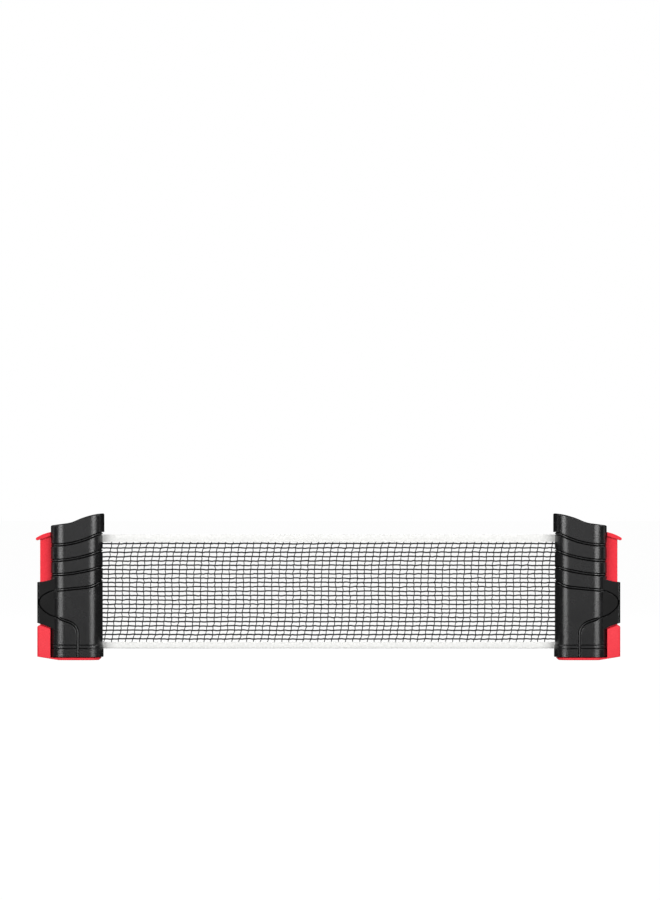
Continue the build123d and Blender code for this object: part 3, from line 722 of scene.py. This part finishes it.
netSizes = {
    "columns": 63,
    "columnGap": 8.85 * mm,
    "lastColumn": 5.4 * mm,  # from the end post
    "rows": 23,
    "rowGap": 5.4 * mm,
    "lowestRow": 25.8 * mm,
    "stubBelow": 5.2 * mm,  # how far the cross threads run on into the tapes
    "stubAbove": 3.2 * mm,
    "lean": 9 * mm,  # the cross threads' tops stand this far to the end post's side
    "thread": 1.05 * mm,  # radius
    "threadStep": 2.2 * mm,
    "crossThread": 0.58 * mm,
    "crossSteps": 4,  # to each row
    "threadSides": 6,
    "knot": 1.3 * mm,
    "knotShape": (1.0, 0.8, 0.85),
    "ripple": 1.1 * mm,  # slow waves, and the small stagger from cell to cell
    "rippleLength": 60 * mm,
    "stagger": 3 * mm,
    "staggerLength": 5.5 * mm,
    # of the ripple and of the stagger, along, across and up
    "threadShares": ((0, 0.3, 1), (0, 0.4, 0.6)),
    "crossShares": ((0.6, 0.3, 1), (1.3, 0.4, 0.6)),
    "cover": 0.8,  # of the netting's area, if its yarn were pressed flat
}
# The net crosses the joint in strips, closer near its ends
stripShares = (0, 0.03, 0.1, 0.24, 0.5, 0.76, 0.9, 0.97, 1)
strips = list(enumerate(zip(stripShares, stripShares[1:])))
netLow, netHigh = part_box("net_mesh")
netLength = netHigh.x - netLow.x


def roundWire(tree, curve, radius, around):
    profile = addNode(tree, "GeometryNodeCurvePrimitiveCircle", {"Resolution": around, "Radius": radius})
    sweep = {"Curve": curve, "Profile Curve": profile, "Fill Caps": True}
    return addNode(tree, "GeometryNodeCurveToMesh", sweep)


def repeated(tree, start, step, count, piece):
    line = {"Count": count, "Start Location": start, "Offset": step}
    points = addNode(tree, "GeometryNodeMeshLine", line)
    copies = addNode(tree, "GeometryNodeInstanceOnPoints", {"Points": points, "Instance": piece})
    return addNode(tree, "GeometryNodeRealizeInstances", {"Geometry": copies})


def nettingTree():
    tree, given = newTree("knottedNetting", {
        "Int": "columns rows",
        "Float": "start end firstColumn columnGap lowestRow rowGap stubBelow stubAbove lean thread "
        "threadStep crossThread knot ripple rippleLength stagger staggerLength",
    })
    place = addNode(tree, "GeometryNodeInputPosition")
    given["height"] = addNode(tree, "ShaderNodeSeparateXYZ", {0: place}, output="Z")
    workOut(tree, given, {
        "gaps": "rows - 1", "rise": "gaps * rowGap", "topRow": "lowestRow + rise",
        "halfRise": "rise / 2", "middle": "lowestRow + halfRise",
        # the cross threads lean most near the tapes
        "above": "height - middle", "share": "above / rise", "cubed": "share ** 3",
        "bent": "cubed * 4", "aside": "bent * lean", "slant": ("aside", 0, 0),
        "rippleScale": "1 / rippleLength", "staggerScale": "1 / staggerLength",
        "span": "end - start", "steps": "span / threadStep", "threadSamples": "steps + 2",
        "threadStart": ("start", 0, 0), "threadEnd": ("end", 0, 0),
        "firstThread": (0, 0, "lowestRow"), "nextThread": (0, 0, "rowGap"),
        "bottom": "lowestRow - stubBelow", "top": "topRow + stubAbove",
        "crossSamples": f"rows * {netSizes['crossSteps']}",
        "crossStart": (0, 0, "bottom"), "crossEnd": (0, 0, "top"),
        "firstCross": ("firstColumn", 0, 0), "nextCross": ("columnGap", 0, 0),
        "firstKnot": ("firstColumn", 0, "lowestRow"),
    })

    def strayed(geometry, shares, *shifts):
        # moved by the waves, the same for every thread at a place, and by the shifts
        moves = []
        for share, wave in zip(shares, ("ripple", "stagger")):
            lumps = {"Vector": place, "Scale": given[wave + "Scale"], "Detail": 1}
            move = addNode(tree, "ShaderNodeTexNoise", lumps, output="Color")
            for operation, socket, by in (
                ("SUBTRACT", 1, (0.5, 0.5, 0.5)), ("MULTIPLY", 1, share), ("SCALE", "Scale", given[wave]),
            ):
                move = addNode(tree, "ShaderNodeVectorMath", {0: move, socket: by}, operation=operation)
            moves.append(move)
        total, *others = *moves, *shifts
        for other in others:
            total = addNode(tree, "ShaderNodeVectorMath", {0: total, 1: other}, operation="ADD")
        return addNode(tree, "GeometryNodeSetPosition", {"Geometry": geometry, "Offset": total})

    def line(kind):
        ends = {"Start": given[kind + "Start"], "End": given[kind + "End"]}
        straight = addNode(tree, "GeometryNodeCurvePrimitiveLine", ends)
        sampled = {"Curve": straight, "Count": given[kind + "Samples"]}
        return addNode(tree, "GeometryNodeResampleCurve", sampled)

    def stacked(first, piece):
        return repeated(tree, first, given["nextThread"], given["rows"], piece)

    def sideBySide(first, piece):
        return repeated(tree, first, given["nextCross"], given["columns"], piece)

    dot = addNode(tree, "GeometryNodeMeshLine", {"Count": 1})
    ball = addNode(tree, "GeometryNodeMeshIcoSphere", {"Radius": given["knot"], "Subdivisions": 2})
    along = strayed(stacked(given["firstThread"], line("thread")), netSizes["threadShares"])
    crossMoves = (netSizes["crossShares"], given["slant"])
    across = strayed(sideBySide(given["firstCross"], line("cross")), *crossMoves)
    crossings = strayed(sideBySide(given["firstKnot"], stacked((0, 0, 0), dot)), *crossMoves)
    knots = {"Points": crossings, "Instance": ball, "Scale": netSizes["knotShape"]}
    closeTree(tree, given, [
        roundWire(tree, along, given["thread"], netSizes["threadSides"]),
        roundWire(tree, across, given["crossThread"], netSizes["threadSides"]),
        addNode(tree, "GeometryNodeInstanceOnPoints", knots),
    ])
    return tree


def stripBlend(piece):
    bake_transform(piece)


def makeNetting():
    tree, gap = nettingTree(), netSizes["columnGap"]
    firstColumn = postInner - netSizes["lastColumn"] - (netSizes["columns"] - 1) * gap
    pieces = []
    for index, (low, high) in strips:
        start, end = netLow.x + low * netLength, netLow.x + high * netLength
        before = ceil(max(0, start - firstColumn) / gap)
        until = min(ceil(max(0, end - firstColumn) / gap), netSizes["columns"])
        piece = addObject(f"netting{index + 1}", bpy.data.meshes.new("netting"), "net_thread")
        grow(tree, piece, {
            **netSizes, "start": start, "end": end,
            "firstColumn": firstColumn + before * gap, "columns": until - before,
        })
        stripBlend(piece)
        pieces.append(piece)
        print("netting strip", index + 1, "has", len(piece.data.polygons), "faces")
    return pieces


netting = makeNetting()
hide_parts("net_mesh")

tapeSizes = {
    "thickness": 1.5 * mm,  # two layers with the net's edge between them
    "cloth": 0.45 * mm,
    "foldSunk": 0.2 * mm,  # the fold's top lies this far inside the tape's height
    "foldSide": 0.6 * mm,  # the fold's round starts this far from its top,
    "foldFlat": 0.55,  # and at this share of its half thickness
    "foldDrop": 0.1 * mm,  # it is this far from its top
    "foldHollow": 0.3 * mm,  # the same inside the fold
    "wander": 0.08 * mm,  # the cloth isn't quite straight or flat
    "wanderLength": 31 * mm,
    "wanderLanes": (0.3, 0.7, 1.1),  # fold, mouth and faces wander apart
    "step": 2 * mm,
    "stitchPitch": 2.6 * mm,
    "stitchLength": 1.7 * mm,
    "stitchWidth": 0.34 * mm,
    "stitchInset": 1.3 * mm,  # from each edge of the tape
}


def wander(x, lane, height, amount):
    # the same for every cloth that passes a place
    place = Vector((x, tapeSizes["wanderLanes"][lane], height))
    return noise.noise(place / tapeSizes["wanderLength"]) * amount


def foldedTape(start, end, foldHeight, openHeight):
    # a tape folded over the net's edge, its mouth towards the netting
    half, cloth = tapeSizes["thickness"] / 2, tapeSizes["cloth"]
    flat, amount = half * tapeSizes["foldFlat"], tapeSizes["wander"]
    up = copysign(1, foldHeight - openHeight)
    count = max(2, round((end - start) / tapeSizes["step"]))
    rings = []
    for sample in range(count + 1):
        x = start + (end - start) * sample / count
        lean = wander(x, 2, foldHeight, amount / 2)
        top = foldHeight + (wander(x, 0, foldHeight, amount) - tapeSizes["foldSunk"]) * up
        low = openHeight + wander(x, 1, openHeight, amount) * up
        middle, inside = (low + top) / 2, top - up * cloth
        edge, brow = top - up * tapeSizes["foldSide"], top - up * tapeSizes["foldDrop"]
        hollow = inside - up * tapeSizes["foldHollow"]
        section = [
            (-half, low), (-half - lean / 2, middle), (-half, edge), (-flat, brow), (0, top),
            (flat, brow), (half, edge), (half - lean / 2, middle), (half, low), (half - cloth, low),
            (half - cloth, hollow), (0, inside), (cloth - half, hollow), (cloth - half, low),
        ]
        rings.append([Vector((x, y + lean, z)) for y, z in section])
    return rings


def stitchTree():
    # stitches along both faces of a tape, near its fold and near its mouth
    sizes = "start end height rise face pitch stitchLength stitchWidth"
    tree, given = newTree("tapeStitches", {"Float": sizes})
    workOut(tree, given, {
        "span": "end - start", "count": "span / pitch",
        "half": "pitch * 0.5", "first": "start + half", "next": ("pitch", 0, 0),
        "size": ("stitchLength", "stitchWidth", "stitchWidth"),
    })
    ball = addNode(tree, "GeometryNodeMeshIcoSphere", {"Radius": 0.5, "Subdivisions": 1})
    stitch = addNode(tree, "GeometryNodeTransform", {"Geometry": ball, "Scale": given["size"]})
    parts = [given["Geometry"]]
    for face, row in ((-1, 0), (-1, 1), (1, 0), (1, 1)):
        workOut(tree, given, {
            "depth": f"face * {face}",
            "climb": f"rise * {row}", "level": "height + climb",
            "place": ("first", "depth", "level"),
        })
        parts.append(repeated(tree, given["place"], given["next"], given["count"], stitch))
    closeTree(tree, given, parts)
    return tree


def makeTape(tree, node, name, up):
    # up is 1 where the fold is above and -1 where it is below
    low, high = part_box(node)
    fold, mouth = (high.z, low.z) if up > 0 else (low.z, high.z)
    inset = tapeSizes["stitchInset"]
    for index, (before, after) in strips:
        start, end = netLow.x + before * netLength, netLow.x + after * netLength
        bar = stripMesh(name, foldedTape(start, end, fold, mouth))
        piece = addObject(f"{name}{index + 1}", bar, "tape_white")
        grow(tree, piece, {
            **tapeSizes, "start": start, "end": end, "face": tapeSizes["thickness"] / 2,
            "height": mouth + inset * up, "rise": (high.z - low.z - 2 * inset) * up,
            "pitch": (end - start) / round((end - start) / tapeSizes["stitchPitch"]),
        })
        stripBlend(piece)
        if index == 0:
            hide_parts(node)


stitches = stitchTree()
makeTape(stitches, "net_top_tape", "topTape", 1)
makeTape(stitches, "net_bottom_tape", "bottomTape", -1)
print("tapes made")

rollSizes = {
    "inner": 7.3 * mm,
    "pitch": 0.52 * mm,
    "cloth": 0.3 * mm,
    "samples": 40,  # to each turn
    "leadInset": 0.4 * mm,  # from its CAD node's edges
    "leadSteps": 4,
}


def clothBand(name, path, low, high):
    # a thin upright cloth that follows a line seen from above
    rings, half = [], rollSizes["cloth"] / 2
    for near, far in zip(sideways(path, half), sideways(path, -half)):
        section = ((near, low), (near, high), (far, high), (far, low))
        rings.append([Vector((*point, height)) for point, height in section])
    return stripMesh(name, rings)


def makeCloths(name, node, path, body):
    # netting with its two tapes, along one path; the lead is too short to be sheets
    low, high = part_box(node)
    topSeam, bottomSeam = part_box("net_top_tape")[0].z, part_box("net_bottom_tape")[1].z
    for part, finish, bottom, top in (
        ("Netting", "net_thread", bottomSeam, topSeam),
        ("TopTape", "tape_white", topSeam, high.z),
        ("BottomTape", "tape_white", low.z, bottomSeam),
    ):
        piece = addObject(name + part, clothBand(name + part, path, bottom, top), finish)
        onBody(piece, body, *([node] if part == "Netting" else []))
        if body != "spool":
            continue


def rollPath():
    low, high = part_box("net_roll")
    middle = Vector(((low.x + high.x) / 2, 0))
    turns = ((high.x - low.x) / 2 - rollSizes["cloth"] - rollSizes["inner"]) / rollSizes["pitch"]
    path = []
    for sample in range(round(turns * rollSizes["samples"]) + 1):
        turned = sample / rollSizes["samples"]
        angle = 2 * pi * turned
        radius = rollSizes["inner"] + rollSizes["pitch"] * turned
        path.append(middle + Vector((cos(angle), sin(angle))) * radius)
    return path


def leadPath():
    (low, high), inset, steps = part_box("net_lead"), rollSizes["leadInset"], rollSizes["leadSteps"]
    start, end = Vector((high.x - inset, -inset)), Vector((low.x + inset, low.y + inset))
    return [start.lerp(end, step / steps) for step in range(steps + 1)]


makeCloths("rolled", "net_roll", rollPath(), "spool")
makeCloths("lead", "net_lead", leadPath(), "left_post")

screwSizes = {
    "head": 2 * mm,
    "dome": 0.35,  # of the head's height
    "domeFlat": 0.72,  # of the head's radius
    "domeSteps": 6,
    "shank": 1.45 * mm,  # radius
    "tip": 0.7,  # of the shank's radius
    "around": 32,
    "crossWidth": 0.9 * mm,
    "crossSpan": 3.4 * mm,
    "crossDepth": 1.1 * mm,
    "turn": (-pi / 2, 0, 0),  # the heads face the back
    "crease": radians(35),
}


def screwShape(headRadius, shankLength):
    # a pan-head screw, its head's top towards +Z and its seat at 0
    head, shank, flat = screwSizes["head"], screwSizes["shank"], screwSizes["domeFlat"]
    domeHeight = head * screwSizes["dome"]
    profile = [(0, -shankLength), (shank * screwSizes["tip"], -shankLength), (shank, shank - shankLength)]
    profile += [(shank, 0), (headRadius, 0)]
    for step in range(screwSizes["domeSteps"] + 1):
        angle = pi / 2 * step / screwSizes["domeSteps"]
        across = flat + (1 - flat) * cos(angle)
        profile.append((headRadius * across, head - domeHeight + domeHeight * sin(angle)))
    profile.append((0, head))
    shape = bmesh.new()
    ring = [shape.verts.new((radius, 0, z)) for radius, z in profile]
    edges = [shape.edges.new(pair) for pair in zip(ring, ring[1:])]
    whole = {"cent": (0, 0, 0), "axis": (0, 0, 1), "angle": 2 * pi, "steps": screwSizes["around"]}
    bmesh.ops.spin(shape, geom=ring + edges, **whole)
    bmesh.ops.remove_doubles(shape, verts=shape.verts, dist=weldGap)
    bmesh.ops.recalc_face_normals(shape, faces=shape.faces)
    return asMesh(shape, "screw", screwSizes["crease"])


def screwTree():
    # screws at the piece's vertices, with a cross cut in each head
    sizes = "head crossWidth crossSpan crossDepth"
    tree, given = newTree("crossHeadScrews", {"Object": "screw", "Vector": "turn", "Float": sizes})
    workOut(tree, given, {
        "deep": "crossDepth * 2", "bar": ("crossSpan", "crossWidth", "deep"), "top": (0, 0, "head"),
    })
    screw = addNode(tree, "GeometryNodeObjectInfo", {"Object": given["screw"]}, output="Geometry")
    for quarter in (0, pi / 2):
        cutter = addNode(tree, "GeometryNodeMeshCube", {"Size": given["bar"]})
        moved = {"Geometry": cutter, "Translation": given["top"], "Rotation": (0, 0, quarter)}
        cutter = addNode(tree, "GeometryNodeTransform", moved)
        screw = addNode(tree, "GeometryNodeMeshBoolean", {0: screw, 1: cutter}, operation="DIFFERENCE")
    turned = addNode(tree, "GeometryNodeTransform", {"Geometry": screw, "Rotation": given["turn"]})
    placed = {"Points": given["Geometry"], "Instance": turned}
    closeTree(tree, given, [addNode(tree, "GeometryNodeInstanceOnPoints", placed)], smooth=False)
    return tree


def makeScrews(tree, side):
    source, head = f"{side}_shell_screws", screwSizes["head"]
    boxes = looseBoxes(source)
    low, high = boxes[0]
    shape = screwShape((high.x - low.x) / 2, high.y - low.y - head)
    template = addObject("screwTemplate", shape, "screw_steel")
    points = [((low.x + high.x) / 2, high.y - head, (low.z + high.z) / 2) for low, high in boxes]
    mesh = bpy.data.meshes.new("screwPlaces")
    mesh.from_pydata(points, [], [])
    piece = addObject(f"{side}ShellCrossScrews", mesh, "screw_steel")
    grow(tree, piece, {**screwSizes, "screw": template})
    piece.data.set_sharp_from_angle(angle=screwSizes["crease"])
    bpy.data.objects.remove(template)
    onBody(piece, f"{side}_post", source)


padSizes = {
    "ribPitch": 3 * mm,
    "ribDepth": 0.45 * mm,
    "ribSteep": 1.6,  # over 1 gives the channels flat floors
    "corner": 8 * mm,
    "narrowest": 0.2 * mm,  # half the pad's width at its very ends
    "edge": 0.4 * mm,
    "edgeShare": 0.25,  # of the pad's thickness
    "endDrop": 0.5 * mm,
    "step": 0.3 * mm,
}


def makePad(side, node, name, body, ribsUp):
    # a rubber pad with ribs across it on the face that grips
    source = f"{side}_{node}"
    low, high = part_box(source)
    length, halfWide, corner = high.x - low.x, (high.y - low.y) / 2, padSizes["corner"]
    count = round(length / padSizes["step"])
    rings = []
    for sample in range(count + 1):
        along = length * sample / count
        toEnd = min(along, length - along)
        inset = max(corner - toEnd, 0)
        half = max(halfWide - corner + sqrt(max(corner**2 - inset**2, 0)), padSizes["narrowest"])
        wave = 0.5 - 0.5 * cos(2 * pi * along / padSizes["ribPitch"])
        drop = padSizes["ribDepth"] * min(1.0, padSizes["ribSteep"] * wave)
        drop += padSizes["endDrop"] if toEnd < padSizes["edge"] else 0
        back, front = (low.z, high.z - drop) if ribsUp else (high.z, low.z + drop)
        rim, edge = front + (back - front) * padSizes["edgeShare"], min(padSizes["edge"], half / 2)
        section = ((half, back), (half, rim), (half - edge, front))
        section = [(-y, z) for y, z in section] + [*reversed(section)]
        rings.append([Vector((low.x + along, y, z)) for y, z in section])
    piece = addObject(side + name, stripMesh(name, rings), "pad_rubber")
    onBody(piece, f"{side}_{body}", source)


# Hook and anchor are the heights of the pins that the eyes go round
springSizes = {
    "radius": 3.05 * mm, "wire": 0.45 * mm, "turns": 27,
    "eye": 2.35 * mm, "hook": 18 * mm, "anchor": 98 * mm,
}
retractionSizes = {"radius": 4.3 * mm, "wire": 0.5 * mm, "turns": 22, "eye": 0.2 * mm}
wireSteps = {"turn": 24, "eye": 32, "around": 8}


def springTree():
    # a coil of round wire about an upright axis, with an eye over each end
    sizes = "middle bottom top radius turns wire eye hook anchor"
    tree, given = newTree("woundSpring", {"Float": sizes})
    workOut(tree, given, {
        "tall": "top - bottom", "foot": ("middle", 0, "bottom"),
        "low": ("middle", 0, "hook"), "high": ("middle", 0, "anchor"),
    })
    coil = addNode(tree, "GeometryNodeCurveSpiral", {
        "Resolution": wireSteps["turn"], "Rotations": given["turns"], "Height": given["tall"],
        "Start Radius": given["radius"], "End Radius": given["radius"],
    })
    ring = {"Resolution": wireSteps["eye"], "Radius": given["eye"]}
    eye = addNode(tree, "GeometryNodeCurvePrimitiveCircle", ring)
    lines, quarter = [], pi / 2
    turns = (0, 0, 0), (quarter, 0, 0), (0, quarter, 0)
    for line, place, turn in zip((coil, eye, eye), ("foot", "low", "high"), turns):
        moved = {"Geometry": line, "Translation": given[place], "Rotation": turn}
        lines.append(addNode(tree, "GeometryNodeTransform", moved))
    joined = addNode(tree, "GeometryNodeJoinGeometry", {0: lines})
    closeTree(tree, given, [roundWire(tree, joined, given["wire"], wireSteps["around"])])
    return tree


def makeSpring(tree, name, sizes, **places):
    spring = addObject(name, bpy.data.meshes.new(name), "spring_steel")
    grow(tree, spring, {**sizes, **places})
    return spring


screws, springs = screwTree(), springTree()
for side in sides:
    makeScrews(screws, side)
    makePad(side, "upper_jaw_pad", "UpperRibbedPad", "post", False)
    makePad(side, "lower_jaw_pad", "LowerRibbedPad", "jaw", True)
    low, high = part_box(f"{side}_jaw_spring")
    across, room = (low.x + high.x) / 2, springSizes["eye"] + 2 * springSizes["wire"]
    foot, top = springSizes["hook"] + room, springSizes["anchor"] - room
    spring = makeSpring(springs, f"{side}RoundWireSpring", springSizes, middle=across, bottom=foot, top=top)
    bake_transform(spring)
    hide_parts(f"{side}_jaw_spring")
low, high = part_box("retraction_spring")
across, foot, top = (low.x + high.x) / 2, low.z + retractionSizes["wire"], high.z - retractionSizes["wire"]
ends = {"middle": across, "bottom": foot, "top": top, "hook": foot, "anchor": top}
torsion = makeSpring(springs, "retractionCoil", retractionSizes, **ends)
onBody(torsion, "spool", "retraction_spring")
print("screws, pads and springs made")
